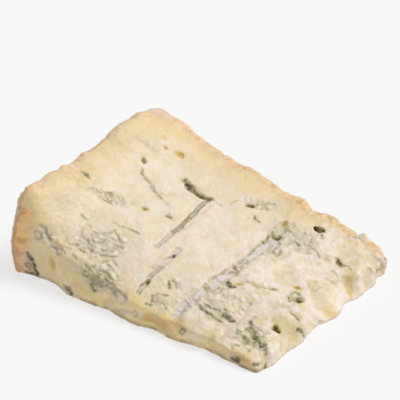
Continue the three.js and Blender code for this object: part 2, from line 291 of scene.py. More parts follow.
# Yellower, clearer paste on the upper face and the thin end: middle, half size, strength, turn
AMBERS = [
    ((-55, 38), (15, 13), 0.6),
    ((-41.5, 13.5), (2.4, 1.2), 1.5, -27),
    ((-34, 30), (1.8, 1.2), 1.4, 60),
    ((-40, 27), (1.8, 0.8), 0.8, 45),
    ((-42, 30.5), (3, 1), 0.7, 68),
    ((-34, 25), (1.5, 1), 0.5, 20),
    ((59, 45), (9, 3.5), 0.35, 20),
    ((-20, 21), (2.5, 1.2), 0.35, 30),
    ((2, 24), (4, 2), 0.3, 60),
    ((56, 7), (4, 3), 0.3, 40),
    ((57, 18), (4, 3), 0.3, 20),
]
END_AMBERS = [
    ((22.3, 5.5), (1.3, 6), 1.3, -28),
    ((26, 5), (1.5, 4), 0.5),
    ((1.5, 3), (2.2, 3), 0.45),
    ((-14, 4), (5, 4), 0.5),
    ((-33, 4), (6, 3), 0.35),
    ((4, 3), (4, 3.5), 0.8),
]
END_BLOOMS = [
    ((43, 6), (5, 5), 1),
]
# Golden patches low on the front cut
FRONT_AMBERS = [
    ((14, 5.5), (7, 2.5), 1.5),
    ((-27, 7), (6, 4), 0.55),
    ((-44, 8), (4, 5), 0.3),
    ((58, 3), (8, 3), 0.8),
    ((28, 8), (7, 3), 0.8),
    ((-43.5, 11.5), (2.4, 4), 1),
]

# Yellow-green paste between the mould: middle, half size, strength, turn
MOSSES = [
    ((-49, -20), (10, 10), 0.75),
    ((61, -25), (6, 5), 1.1),
    ((66, -28), (4, 5), 0.8),
    ((64, -23), (3, 4), 1.3),
    ((44, -22), (4, 1.5), 0.9, 10),
    ((54, -30), (6, 2.5), 1, 10),
    ((47, -34), (4, 3), 0.6),
    ((34, -17), (6, 2), 0.6, 20),
    ((44, -11), (7, 2), 0.5, 20),
    ((56, -6), (4, 3), 0.8),
    ((63, -17), (3, 3), 1.1),
    ((66, -21), (3, 4), 1),
    ((59, -8), (2.5, 2), 0.7),
    ((54, -3), (3, 2), 0.8),
    ((55.5, 7), (3, 3), 0.8),
    ((57.5, 18), (3, 3), 0.8),
    ((27, 30), (4, 3), 0.6),
    ((37, 9), (3, 3), 0.5),
    ((28, -9), (3, 4), 0.5),
    ((8, 27), (3, 2), 0.5),
    ((5, -14), (3, 1.5), 0.4),
    ((18, 6), (3, 2), 0.4),
    ((12, -30), (3, 2), 0.5),
    ((-22, -9.5), (4, 2), 0.5),
    ((-36, 28), (6, 3), 0.35, 20),
    ((-34, 6), (6, 2), 0.4),
    ((64, -47), (5, 3), 0.5),
]
END_MOSSES = [
    ((-24, 5), (5, 5), 0.9),
    ((20, 8), (3, 3), 0.4),
]

# Where the mould is brown instead of green, on the front cut and the thin end
FRONT_BROWNS = [
    ((-57, 7), (5, 8), 1.2),
    ((56, 2), (8, 4), 1.2),
]
END_BROWNS = [
    ((-19, 4), (4, 5), 1.2),
]

# Marks on the front cut, placed by X and height: width, darkness, places passed through
FRONT_VEINS = [
    # Rings and smears beside the rind
    (1.1, 0.5, (-52, 25), (-51, 26), (-49, 25), (-49, 23), (-51, 22), (-52, 25)),
    (1.9, 0.6, (-50, 28), (-48, 27), (-47, 25), (-45, 23)),
    (1.6, 0.4, (-45, 23), (-44, 21), (-42, 20)),
    (0.9, 0.45, (-41, 20), (-40, 21), (-38, 21), (-38, 19), (-40, 18), (-41, 20)),
    (0.9, 0.5, (-38, 21), (-37, 21), (-36, 20)),
    (1.2, 0.5, (-32, 20), (-30, 19)),
    # The dark patch at the foot of the rind
    (2, 0.75, (-58, 12), (-57, 10), (-56, 9)),
    (2.6, 0.95, (-56, 9), (-55, 7), (-55, 4), (-54, 2)),
    (1.2, 0.6, (-60, 5), (-59, 6), (-57, 6), (-58, 3), (-60, 5)),
    (1.6, 0.9, (-60, 1), (-57, 1), (-54, 1)),
    # The grey patch
    (1.3, 0.6, (-25, 18), (-23, 17), (-21, 18), (-18, 17), (-15, 17), (-13, 16), (-10, 14), (-9, 13)),
    (1.2, 0.6, (-24, 18), (-24, 16), (-25, 14), (-23, 13)),
    (1.2, 0.6, (-17, 16), (-18, 13), (-16, 11), (-13, 12)),
    (1.1, 0.55, (-15, 15), (-13, 14), (-12, 13)),
    (2, 0.8, (-21, 10), (-20, 9), (-19, 8)),
    (2, 0.5, (-11, 14), (-8, 13), (-5, 12), (-2, 11)),
    # Low marks toward the thin end
    (2.4, 0.95, (-36, 3), (-34, 2), (-32, 1.5)),
    (1.4, 0.4, (-8, 3), (-5, 3)),
    (1, 0.45, (2, 5), (4, 7), (5, 6), (4, 4), (2, 5)),
    (1.1, 0.65, (27, 5), (28, 7.5), (30, 7), (28, 5), (27, 5)),
    (3, 0.9, (54, 3), (55.5, 2.3)),
    (1.2, 0.5, (57.5, 0.9), (62, 0.8), (66, 0.8)),
    (1.3, 0.7, (64, 3.5), (65, 3.3)),
]
FRONT_HOLLOWS = [
    ((-43.5, 11.5), (1.8, 3.6), 0.3),
]
FRONT_BLOOMS = [
    ((-47, 25), (4, 3.5), 0.7),
    ((-42, 21), (5, 3), 0.7, -30),
    ((-35, 20), (5, 3), 0.5, -20),
    ((-27, 17), (4, 3), 0.5),
    ((-18, 14), (8.5, 4.5), 1.25),
    ((-6, 11), (7, 3), 0.7, -15),
    ((-58, 6), (3, 5), 0.9),
    ((0, 5), (8, 3), 0.45),
]

# Low rises and dips of the upper face: middle, half size, height
SWELLS = [
    ((48.5, 40), (2.6, 6), 1.6),
    ((53.2, 39), (2.8, 7), -1.5),
]

# Ridges and grooves down the broken thin end: Y, half width, height
NOSE_FLUTES = [
    (-14, 2.5, 0.5),
    (-9, 2, -0.5),
    (-3.5, 2.4, 1),
    (2.5, 2.6, -0.7),
    (9, 2.6, 0.6),
    (17.5, 2.4, 0.4),
    (22, 1.6, -0.5),
    (25.5, 1.5, 0.3),
    (32, 4.5, -1),
]

# Cracks in the broken thin end, placed by Y and height
END_VEINS = [
    (1.4, 0.85, (-21, 7), (-19, 5), (-17, 2)),
    (0.9, 0.4, (6, 1), (8, 0.8)),
    (1.2, 0.5, (34, 9), (35, 7)),
    (1.5, 0.6, (41.5, 4), (43.5, 2.5)),
    (1, 0.4, (45, 5), (46, 3.5)),
    (0.9, 0.4, (-4, 1), (-2, 0.8)),
]


def smoothstep(x, low, high):
    """0 below low, 1 above high and a smooth step between."""
    t = np.clip((x - low) / (high - low), 0, 1)
    return t * t * (3 - 2 * t)


def lattice(cell, seed):
    """A fixed random number from -1 to 1 for each whole-numbered place."""
    part = cell.astype(np.int64).astype(np.uint32)
    mixed = part[:, 0] * np.uint32(374761393) + part[:, 1] * np.uint32(668265263)
    mixed = mixed + part[:, 2] * np.uint32(2246822519) + np.uint32(seed * 3266489917 % 2**32)
    mixed = (mixed ^ (mixed >> np.uint32(13))) * np.uint32(1274126177)
    mixed = mixed ^ (mixed >> np.uint32(16))
    return mixed / 2.0**31 - 1


def noise(places, pitch, seed=1):
    """Smooth noise from -1 to 1 with lumps one pitch apart."""
    scaled = places / pitch
    cell = np.floor(scaled)
    t = scaled - cell
    t = t * t * (3 - 2 * t)
    total = np.zeros(len(places))
    for corner in np.ndindex(2, 2, 2):
        corner = np.array(corner)
        weight = np.prod(np.where(corner, t, 1 - t), axis=1)
        total += weight * lattice(cell + corner, seed)
    return total


def rough(places, pitch, octaves, seed=1):
    """Noise with finer noise of half the height added to it, several times."""
    total = np.zeros(len(places))
    for octave in range(octaves):
        total += noise(places, pitch / 2**octave, seed + octave) / 2**octave
    return total


def placed(name, data):
    """A new object of the scene."""
    made = bpy.data.objects.new(name, data)
    bpy.context.scene.collection.objects.link(made)
    return made


def remeshed(node):
    """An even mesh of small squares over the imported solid, as places in mm and faces."""
    copy = placed("solid_copy", node.data.copy())
    remesh = copy.modifiers.new("even", "REMESH")
    remesh.mode = "VOXEL"
    remesh.voxel_size = VOXEL * MM
    remesh.adaptivity = 0
    graph = bpy.context.evaluated_depsgraph_get()
    mesh = bpy.data.meshes.new_from_object(copy.evaluated_get(graph))
    places = np.empty(len(mesh.vertices) * 3)
    mesh.vertices.foreach_get("co", places)
    corners = np.empty(len(mesh.loops), np.int32)
    mesh.loops.foreach_get("vertex_index", corners)
    bpy.data.objects.remove(copy)
    return places.reshape(-1, 3) / MM, corners.reshape(-1, 4)


def face_edges(faces):
    """Each face's sides as pairs of vertices, one row for each side of each face."""
    return np.stack([faces, np.roll(faces, -1, axis=1)], axis=2).reshape(-1, 2)


def mean_of_neighbours(values, edges):
    """For each vertex, the mean of the values at the vertices next to it."""
    count = len(values)
    sums = [np.bincount(edges[:, 0], column[edges[:, 1]], count) for column in values.reshape(count, -1).T]
    return (np.stack(sums, 1) / np.bincount(edges[:, 0], minlength=count)[:, None]).reshape(values.shape)


def smoothed(places, edges, steps):
    """The surface without the solid's facets. Each shrinking step is followed by a swelling one."""
    resting = places[:, 2] < RESTING_HEIGHT
    for step in range(steps):
        share = SHRINKING if step % 2 == 0 else SWELLING
        places = places + share * (mean_of_neighbours(places, edges) - places)
        places[resting, 2] = 0
    places[:, 2] = np.maximum(places[:, 2], 0)
    return places, resting


def vertex_normals(places, faces):
    """Unit normals, each the sum of those of the faces round it."""
    across = places[faces[:, 2]] - places[faces[:, 0]]
    along = places[faces[:, 3]] - places[faces[:, 1]]
    flat = np.cross(across, along)
    normals = np.zeros_like(places)
    for corner in range(4):
        for axis in range(3):
            normals[:, axis] += np.bincount(faces[:, corner], flat[:, axis], len(places))
    return normals / np.maximum(np.linalg.norm(normals, axis=1), 1e-9)[:, None]


def boundary_loop(faces):
    """The vertices round the open edge, in order."""
    sides = face_edges(faces)
    known = {(a, b) for a, b in sides.tolist()}
    after = {b: a for a, b in known if (b, a) not in known}
    start = min(after)
    loop = [start]
    while after[loop[-1]] != start:
        loop.append(after[loop[-1]])
    return loop


def filled_underside(places, faces, resting):
    """The flat underside in larger triangles: new places, the faces kept and the new triangles."""
    kept = faces[~resting[faces].all(axis=1)]
    loop = boundary_loop(kept)
    outline = places[loop][:, :2]
    steps_x = np.arange(-LENGTH / 2, LENGTH / 2, UNDERSIDE_PITCH)
    steps_y = np.arange(-WIDTH / 2, WIDTH / 2, UNDERSIDE_PITCH)
    grid = np.array([(x, y) for x in steps_x for y in steps_y])
    gap = np.array([np.hypot(*(outline - g).T).min() for g in grid])
    grid = grid[gap > UNDERSIDE_PITCH / 2]
    flat = [Vector(p) for p in np.concatenate([outline, grid]).tolist()]
    edges = [(i, (i + 1) % len(loop)) for i in range(len(loop))]
    made = delaunay_2d_cdt(flat, edges, [], 1, 1e-6)
    corners = np.array(made[2])
    added = np.array([(p.x, p.y, 0) for p in made[0][len(loop):]])
    numbers = np.concatenate([loop, len(places) + np.arange(len(added))]).astype(int)
    return np.concatenate([places, added]), kept, numbers[corners][:, ::-1]


class Surface:
    """Finds the places on the solid that lie under marks placed on one of its faces."""

    def __init__(self, node):
        self.tree = BVHTree.FromPolygons(
            [v.co / MM for v in node.data.vertices], [p.vertices for p in node.data.polygons]
        )

    def find(self, place, face):
        u, v = place
        start, way = {
            "upper": ((u, v, 100), (0, 0, -1)),
            "front": ((u, -100, v), (0, 1, 0)),
            "end": ((100, u, v), (-1, 0, 0)),
        }[face]
        hit = self.tree.ray_cast(Vector(start), Vector(way))[0]
        if hit is None:
            hit = self.tree.find_nearest(Vector(start))[0]
        return np.array(hit)

    def path(self, points, face):
        """Places about one mark step apart along the line through the points, each on the surface."""
        found = []
        for a, b in zip(points, points[1:]):
            count = max(1, round(math.dist(a, b) / MARK_STEP))
            found += [np.add(a, np.subtract(b, a) * i / count) for i in range(count)]
        return np.array([self.find(p, face) for p in found + [np.array(points[-1])]])


def wavering(places, amount, pitch, seed):
    """The places moved about a little, so that a mark drawn on them comes out uneven."""
    moves = [noise(places, pitch, seed + axis) for axis in range(3)]
    return places + amount * np.stack(moves, 1)


def beside(places, normals, path):
    """For places near a path: signed distance to its side, distance past its ends, and distance.
    Height above the path counts less, because the smoothed surface is a little off the solid."""
    close = np.full(len(places), 1e9)
    side = np.zeros(len(places))
    past = np.zeros(len(places))
    last = len(path) - 2
    for number, (a, b) in enumerate(zip(path, path[1:])):
        step = b - a
        size = np.linalg.norm(step)
        if size < 1e-6:
            continue
        along = step / size
        away = places - a
        run = away @ along
        clear = run - np.clip(run, 0, size)
        square = away - run[:, None] * along
        above = np.einsum("ij,ij->i", square, normals)
        lateral = np.sqrt(np.maximum((square**2).sum(1) - 0.7 * above**2, 0))
        sign = np.where(np.einsum("ij,ij->i", away, np.cross(normals, along)) < 0, -1, 1)
        reach = np.hypot(lateral, clear)
        outer = ((clear < 0) & (number == 0)) | ((clear > 0) & (number == last))
        nearer = reach < close
        close[nearer] = reach[nearer]
        side[nearer] = (sign * np.where(outer, lateral, reach))[nearer]
        past[nearer] = np.where(outer, np.abs(clear), 0)[nearer]
    return side, past, close


def close_by(places, path, reach):
    """The numbers of the places in the box round a path, widened by the reach."""
    low = path.min(0) - reach
    high = path.max(0) + reach
    return np.where(((places > low) & (places < high)).all(axis=1))[0]


class Lines:
    """Lines on the surface, as a signed distance to their side in half widths, and a darkness.
    Lines that lie close together go to different sets, because a distance can only be to one line."""

    SETS = 6

    def __init__(self, places, normals):
        self.places = places
        self.normals = normals
        self.side = np.full((len(places), self.SETS), AWAY["line_side_a"])
        self.tone = np.zeros((len(places), self.SETS))
        self.haze = np.zeros(len(places))

    def add(self, path, width, darkness, apart=0.0):
        """Adds one line, or where apart is given the two edges of a channel of that width."""
        half = width / 2
        near = close_by(self.places, path, half + apart / 2 + 2.5)
        side, past, close = beside(self.places[near], self.normals[near], path)
        if apart:
            side = np.abs(side) - apart / 2
        fading = smoothstep(np.abs(side) - half, 0.7, 1.8) + smoothstep(past, 0.2 * half, half + 0.5)
        tone = darkness * np.clip(1 - fading, 0, 1)
        clash = [np.minimum(self.tone[near, number], tone).sum() for number in range(self.SETS)]
        number = int(np.argmin(clash))
        stronger = tone > self.tone[near, number]
        self.side[near[stronger], number] = (side / half)[stronger]
        self.tone[near[stronger], number] = tone[stronger]
        soft = darkness * np.exp(-((close / (1.3 * half + 0.5 * apart + 0.7)) ** 2))
        self.haze[near] = np.maximum(self.haze[near], soft)

    def strength(self):
        """How dark a line is at each place, from 0 to 1."""
        return (np.clip(1 - np.abs(self.side), 0, 1) * self.tone).max(1)


def inside(places, middle, half, face, turn=0):
    """1 in the middle of an oval, 0 at its edge and less beyond."""
    first, second = {"upper": (0, 1), "front": (0, 2), "end": (1, 2)}[face]
    away = places - middle
    angle = math.radians(turn)
    u = away[:, first] * math.cos(angle) + away[:, second] * math.sin(angle)
    v = away[:, second] * math.cos(angle) - away[:, first] * math.sin(angle)
    third = 3 - first - second
    w = away[:, third] / (1.5 * max(half) + 1)
    return 1 - np.sqrt((u / half[0]) ** 2 + (v / half[1]) ** 2 + w**2)


def drawn_lines(surface, places, normals):
    """The veins, and the dark edges of the needle channels."""
    lines = Lines(wavering(places, 0.5, 2.2, 31), normals)
    for marks, face in ((UPPER_VEINS, "upper"), (FRONT_VEINS, "front"), (END_VEINS, "end")):
        for width, darkness, *points in marks:
            lines.add(surface.path(points, face), width, darkness)
    lines.places = wavering(places, 0.4, 3.0, 41)
    for width, darkness, *points in CHANNELS:
        lines.add(surface.path(points, "upper"), 0.45 * width, darkness, 0.65 * width)
    return lines


def channel_depth(surface, places, normals):
    """1 in the middle of a needle channel, 0 outside it."""
    depth = np.zeros(len(places))
    for width, _, *points in CHANNELS:
        path = surface.path(points, "upper")
        near = close_by(places, path, width)
        uneven = 0.1 * width * noise(places[near], 2.6, 47)
        close = beside(places[near], normals[near], path)[2] + uneven
        depth[near] = np.maximum(depth[near], 1 - smoothstep(close, 0.2 * width, 0.7 * width))
    return depth


def ovals(surface, places, groups):
    """For each oval mark, how far inside it each place is, and the mark's strength."""
    for marks, face in groups:
        for middle, half, strength, *turn in marks:
            yield inside(places, surface.find(middle, face), half, face, *turn), strength


def oval_field(surface, places, groups):
    """How far inside an oval mark each place is, times the strength of that mark."""
    value = np.full(len(places), AWAY["hollow"])
    for oval, strength in ovals(surface, places, groups):
        value = np.maximum(value, np.where(oval > 0, oval * strength, oval))
    return value


def soft_field(surface, places, groups):
    """The strength of the strongest of some soft-edged ovals at each place."""
    value = np.zeros(len(places))
    for oval, strength in ovals(surface, places, groups):
        value = np.maximum(value, strength * np.exp(-((1 - oval) ** 2) * 0.8))
    return value


def crevice_distance(places):
    """How far each place is, in mm, from the nearest crevice between two lumps of curd."""
    angle = math.radians(LUMP_TURN)
    x, y, z = wavering(places, 1.5, 4.5, 101).T
    along = x * math.cos(angle) + y * math.sin(angle)
    across = y * math.cos(angle) - x * math.sin(angle)
    scaled = np.stack([along, across, z], 1) / LUMP
    cell = np.floor(scaled)
    first = np.full(len(places), 9.0)
    second = np.full(len(places), 9.0)
    for step in np.ndindex(3, 3, 3):
        near = cell + np.array(step) - 1
        middle = near + 0.5 + 0.45 * np.stack([lattice(near, 111 + axis) for axis in range(3)], 1)
        away = np.linalg.norm(scaled - middle, axis=1)
        second = np.minimum(second, np.maximum(first, away))
        first = np.minimum(first, away)
    return (second - first) / 2 * min(LUMP)


def rind_depth(places, front):
    """How far each place is, in mm, inside the border of rind and paste, below 0 in the rind."""
    x, y, z = places.T
    thick = RIND_THICKNESS + 4.0 * np.exp(-(((z - 2) / 6) ** 2)) - 8.0 * smoothstep(z, 32.5, 37)
    round_side = x + LENGTH / 2 - z**2 / (2 * WHEEL_RADIUS)
    round_side -= EDGE_THICKNESS + front * (thick - EDGE_THICKNESS)
    flat_end = WIDTH / 2 - y - 1.3 * EDGE_THICKNESS - 3.0 * np.exp(-(((x - 27) / 9) ** 2))
    return np.minimum(round_side, flat_end) + 0.9 * noise(places, 7, 51)


def near_skin(skin, edges):
    """How near each place is to the outside of the rind, falling from 1 to 0 over a few mm."""
    near = skin
    for step in range(RIM_STEPS):
        near = mean_of_neighbours(near, edges)
    return near


def rind_skin(normals):
    """1 on the outside of the rind, 0 where the rind is cut through."""
    return np.maximum(smoothstep(-normals[:, 0], 0.25, 0.55), smoothstep(normals[:, 1], 0.08, 0.4))


def warmth(places, rind):
    """How much yellower the paste is beneath the rind, less toward the thin end."""
    return 1.1 * (1 - smoothstep(rind, 0, 31)) * (1 - 0.75 * smoothstep(places[:, 0], 30, 46))


# Colours, as on a screen
COLOURS = {
    "paste": "e9dbc4",
    # pale: the curd's own paler patches, and also a painted highlight on the rises of the relief
    "pale": "ecdfd0",
    "warm": "e4cc9e",
    "pink": "e9d0bc",
    "front": "f6da93",
    "amber": "dab866",
    "front_amber": "cfa862",
    "under_rind": "dfc2a0",
    "edge_rind": "e7c596",
    "rim_pale": "edd0b4",
    "rim_dark": "c09a72",
    "rind": "f8c580",
    "rind_dark": "b98450",
    "skin": "e6d0bd",
    "skin_pink": "ddb9a6",
    "skin_tan": "c9a482",
    "skin_grey": "b0a294",
    "skin_pit": "8f6f52",
    # painted shade, laid in the low places of the relief
    "painted_shade": "cfba8f",
    "crumb": "f0e0d2",
    "moss": "cfb983",
    # lump: a paler curd tone, also laid on the tops of the lumps as a partly painted highlight
    "lump": "f0e1dc",
    # olive of the creases, partly mould and partly painted shade
    "crease_olive_and_shade": "c3b793",
    "mould": "b4a880",
    "front_dull": "dac28b",
    # foot: partly a brownish crust, partly painted shade at the foot of the front cut
    "foot": "a8926c",
    "scab": "5c4229",
    "bloom": "d2cebb",
    "lilac": "d9cfcb",
    "track": "b3a98b",
    "vein_edge": "c8bb96",
    "vein": "8a845c",
    "vein_core": "46462d",
    # Hollow colours darken inward, partly mould and partly painted shade
    "hollow_edge": "dac080",
    "hollow": "b39a50",
    "hollow_deep": "7c6c38",
    "hollow_core": "3f3a1c",
    "floor": "8c8c8c",
    "glow": "d5d5d5",
}


def colour(name):
    """A named screen colour as Blender's linear RGBA."""
    code = COLOURS[name]
    parts = [int(code[i:i + 2], 16) / 255 for i in (0, 2, 4)]
    return [p / 12.92 if p <= 0.04045 else ((p + 0.055) / 1.055) ** 2.4 for p in parts] + [1]


def set_inputs(node, values):
    for name, value in values.items():
        node.inputs[name].default_value = value


class Nodes:
    """Short calls that add shader nodes to one material."""

    def __init__(self, name):
        self.material = bpy.data.materials.new(name)
        self.material.use_nodes = True
        self.tree = self.material.node_tree
        self.shader = self.tree.nodes["Principled BSDF"]
        coordinates = self.new("TexCoord").outputs["Object"]
        self.place = self.vector("SCALE", coordinates, scale=1 / MM)

    def new(self, kind):
        return self.tree.nodes.new("ShaderNode" + kind)

    def give(self, socket, value):
        if isinstance(value, bpy.types.NodeSocket):
            self.tree.links.new(value, socket)
        else:
            socket.default_value = value

    def vector(self, operation, first, second=None, scale=None):
        node = self.new("VectorMath")
        node.operation = operation
        self.give(node.inputs[0], first)
        if second is not None:
            self.give(node.inputs[1], second)
        if scale is not None:
            self.give(node.inputs["Scale"], scale)
        return node.outputs[0]

    def math(self, operation, first, second=0.0):
        node = self.new("Math")
        node.operation = operation
        self.give(node.inputs[0], first)
        self.give(node.inputs[1], second)
        return node.outputs[0]

    def add(self, first, second):
        return self.math("ADD", first, second)

    def times(self, first, second):
        return self.math("MULTIPLY", first, second)

    def less(self, first, second):
        return self.math("SUBTRACT", first, second)

    def most(self, first, second):
        return self.math("MAXIMUM", first, second)

    def noise(self, pitch, detail=2.0, distortion=0.0, roughness=0.5, shift=(0, 0, 0)):
        """Noise from 0 to 1 with lumps one pitch apart, different for each shift."""
        node = self.new("TexNoise")
        self.give(node.inputs["Vector"], self.vector("ADD", self.place, shift))
        set_inputs(node, {"Scale": 1 / pitch, "Detail": detail})
        set_inputs(node, {"Roughness": roughness, "Distortion": distortion})
        return node.outputs["Fac"]

    def step(self, value, low, high):
        """0 below low, 1 above high and a smooth step between."""
        node = self.new("MapRange")
        node.interpolation_type = "SMOOTHSTEP"
        self.give(node.inputs["Value"], value)
        self.give(node.inputs["From Min"], low)
        self.give(node.inputs["From Max"], high)
        return node.outputs["Result"]

    def fall(self, value, low, high):
        """1 below low, 0 above high."""
        return self.less(1.0, self.step(value, low, high))

    def mix(self, share, first, second):
        node = self.new("Mix")
        node.data_type = "RGBA"
        self.give(node.inputs["Factor"], share)
        self.give(node.inputs[6], first)
        self.give(node.inputs[7], second)
        return node.outputs[2]

    def paint(self, base, name, share, strength=1.0):
        """A named colour laid over the base, as far as the share times the strength."""
        return self.mix(self.times(share, strength), base, colour(name))

    def sway(self, amount, *noise, **options):
        """Noise with its middle at 0, from about half the amount below to half of it above."""
        return self.times(self.less(self.noise(*noise, **options), 0.5), amount)

    def read(self, name, output="Fac"):
        node = self.new("Attribute")
        node.attribute_name = name
        return node.outputs[output]

    def parts(self, vector):
        node = self.new("SeparateXYZ")
        self.give(node.inputs[0], vector)
        return list(node.outputs)

    def ramp(self, value, stops):
        node = self.new("ValToRGB")
        elements = node.color_ramp.elements
        while len(elements) < len(stops):
            elements.new(0.5)
        for element, (at, name) in zip(elements, stops):
            element.position = at
            element.color = colour(name)
        self.give(node.inputs["Fac"], value)
        return node.outputs["Color"]


def paste_colour(n, depth):
    """Cream paste, warmer toward the rind and on the front cut and darker in patches at the foot of that
    cut, partly crust and partly painted shade, with painted shade in the low places of its relief and a
    painted highlight on its rises.
    """
    broad = n.step(n.noise(15, 2), 0.4, 0.62)
    curd = n.step(n.noise(4.5, 3), 0.38, 0.68)
    blush = n.step(n.noise(8, 2, shift=(31, 7, 3)), 0.47, 0.68)
    fine = n.step(n.noise(1.3, 3), 0.4, 0.72)
    base = n.paint(colour("paste"), "warm", broad, 0.4)
    base = n.paint(base, "pale", curd, 0.6)
    base = n.paint(base, "pink", blush, 0.55)
    base = n.paint(base, "warm", fine, 0.15)
    thin = n.step(n.parts(n.place)[0], 10, 28)
    olive = n.step(n.noise(4.2, 3, 0.6, shift=(2, 90, 8)), 0.5, 0.66)
    base = n.paint(base, "moss", n.times(olive, thin), 0.5)
    pale = n.step(n.noise(3.4, 3, 0.4, shift=(70, 12, 6)), 0.48, 0.62)
    base = n.paint(base, "lump", n.times(pale, thin), 0.6)
    dull = n.times(n.step(n.noise(7, 3, shift=(9, 61, 4)), 0.42, 0.62), n.step(depth, 7.0, 20.0))
    front = n.paint(colour("front"), "front_dull", dull, 0.8)
    base = n.mix(n.times(n.read("front"), 0.8), base, front)
    warm = n.times(n.read("warm"), n.add(n.times(n.noise(6, 2), 0.8), 0.5))
    base = n.paint(base, "warm", warm)
    band = n.times(n.fall(depth, 1.5, 6.0), n.less(0.7, n.times(n.read("front"), 0.4)))
    base = n.paint(base, "under_rind", band)
    amber = n.add(n.read("amber"), n.sway(0.5, 3, 2))
    deep = n.mix(n.read("front"), colour("amber"), colour("front_amber"))
    base = n.mix(n.times(n.step(amber, 0.1, 1.0), 0.9), base, deep)
    # Darker patches at the foot of the front cut: partly a brownish crust, partly painted shade where the
    # cut meets the floor
    foot = n.times(n.fall(n.read("foot"), 0.3, 2.8), n.step(n.noise(5, 3), 0.3, 0.62))
    base = n.paint(base, "foot", foot)
    # Painted shade in the low places of the relief, and a painted highlight on its rises
    base = n.paint(base, "painted_shade", n.fall(n.read("raised"), -0.5, -0.05), 0.45)
    return n.paint(base, "pale", n.step(n.read("raised"), 0.05, 0.6), 0.5)


def skin_colour(n):
    """The outside of the rind, a dusty crust with pink, tan and grey patches and dark pits."""
    pink = n.step(n.noise(17, 6, 0.8, 0.62), 0.42, 0.6)
    tan = n.step(n.noise(11, 7, 0.6, 0.68, (3, 50, 9)), 0.46, 0.62)
    grey = n.step(n.noise(14, 7, 1.0, 0.7, (40, 5, 19)), 0.52, 0.66)
    dust = n.step(n.noise(2.2, 5, 0.3, 0.7, (8, 80, 2)), 0.42, 0.62)
    pit = n.fall(n.noise(1.6, 3, 0.5, 0.6, (60, 1, 33)), 0.3, 0.4)
    base = n.paint(colour("skin"), "skin_pink", pink, 0.6)
    base = n.paint(base, "skin_tan", tan, 0.75)
    base = n.paint(base, "skin_grey", grey, 0.6)
    base = n.paint(base, "skin", dust, 0.4)
    return n.paint(base, "skin_pit", pit, 0.6)


def rind_colour(n, depth):
    """Orange rind, darkest toward its outside on the front cut, and its pale outside."""
    front = n.read("front")
    spots = n.noise(3.0, 4, 0.8, shift=(5, 2, 77))
    edge = n.paint(colour("edge_rind"), "rim_pale", n.step(spots, 0.5, 0.66), 0.6)
    edge = n.paint(edge, "rim_dark", n.fall(spots, 0.36, 0.5), 0.6)
    base = n.paint(edge, "rind", front)
    outer = n.times(n.fall(depth, -9.0, -3.0), front)
    base = n.paint(base, "rind_dark", outer, 0.75)
    dark = n.step(n.noise(6, 4, 0.5, shift=(13, 5, 29)), 0.44, 0.66)
    base = n.paint(base, "rind_dark", n.times(dark, front), 0.8)
    low = n.times(n.fall(n.read("foot"), 5.0, 20.0), front)
    base = n.paint(base, "skin_pink", low, 0.35)
    fine = n.step(n.noise(1.6, 3), 0.4, 0.7)
    base = n.paint(base, "under_rind", fine, 0.3)
    return n.mix(n.read("skin"), base, skin_colour(n))


def line_strength(n, ragged):
    """How dark the nearest drawn line is, with uneven edges and broken lengths."""
    uneven = n.step(n.noise(2.2, 2, shift=(7, 3, 61)), 0.25, 0.55)
    uneven = n.add(n.times(uneven, 0.5), 0.46)
    width = n.add(n.sway(2.6, 2.4, 1, shift=(17, 33, 1)), 1.35)
    strongest = 0.0
    for group in "ab":
        sides, tones = (n.parts(n.read(f"line_{kind}_{group}", "Vector")) for kind in ("side", "tone"))
        for side, tone in zip(sides, tones):
            close = n.less(width, n.math("ABSOLUTE", n.add(side, ragged)))
            cover = n.step(close, -0.5, 1.4)
            strongest = n.most(n.times(cover, n.times(tone, uneven)), strongest)
    return strongest


def crevice_strength(n, density, ragged):
    """How dark the mould in the crevices between lumps of curd is."""
    broken = n.step(n.noise(3.2, 2, shift=(11, 23, 5)), 0.45, 0.65)
    reach = n.add(n.times(broken, 0.6), 0.25)
    close = n.fall(n.add(n.read("crevice"), n.times(ragged, 0.5)), 0.0, reach)
    return n.times(n.times(close, broken), n.times(n.step(density, 0.2, 1.1), 0.5))


def crumbled(n, base, density, ragged):
    """Crumbly paste, paler on its lumps and olive in the creases between them: the pale tops are partly the
    curd's own tone and partly painted highlight, the olive partly mould and partly painted shade in the
    creases.
    """
    crumbly = n.step(density, 0.15, 0.7)
    away = n.add(n.read("crevice"), n.times(ragged, 0.5))
    # Lump tops: partly paler curd, partly painted highlight. Creases: partly olive mould, partly painted
    # shade
    base = n.paint(base, "lump", n.times(n.step(away, 0.45, 1.1), crumbly), 0.5)
    return n.paint(base, "crease_olive_and_shade", n.times(n.fall(away, 0.0, 0.5), crumbly), 0.55)


def mouldy(n, base, density, ragged):
    """Bloom, crumbs and moss over the paste."""
    base = n.paint(base, "crumb", n.step(density, 0.1, 0.6), 0.5)
    tint = n.paint(colour("bloom"), "lilac", n.step(n.noise(6, 2), 0.42, 0.6))
    tint = n.paint(tint, "mould", n.times(n.step(density, 0.7, 1.3), n.read("front")))
    base = n.mix(n.times(n.step(density, 0.4, 1.3), 0.75), base, tint)
    base = crumbled(n, base, density, ragged)
    moss = n.add(n.read("moss"), n.sway(1.6, 2.8, 3))
    return n.paint(base, "moss", n.step(moss, 0.25, 1.1), 0.8)


def channelled(n, base):
    """Lilac insides of the needle channels, duller between dark edges."""
    channel = n.step(n.add(n.read("channel"), n.sway(1.4, 2.6, 3, 0.5)), 0.15, 1.0)
    base = n.paint(base, "lilac", channel, 0.65)
    track = n.times(channel, n.step(n.read("haze"), 0.42, 0.75))
    return n.paint(base, "track", track, 0.4)


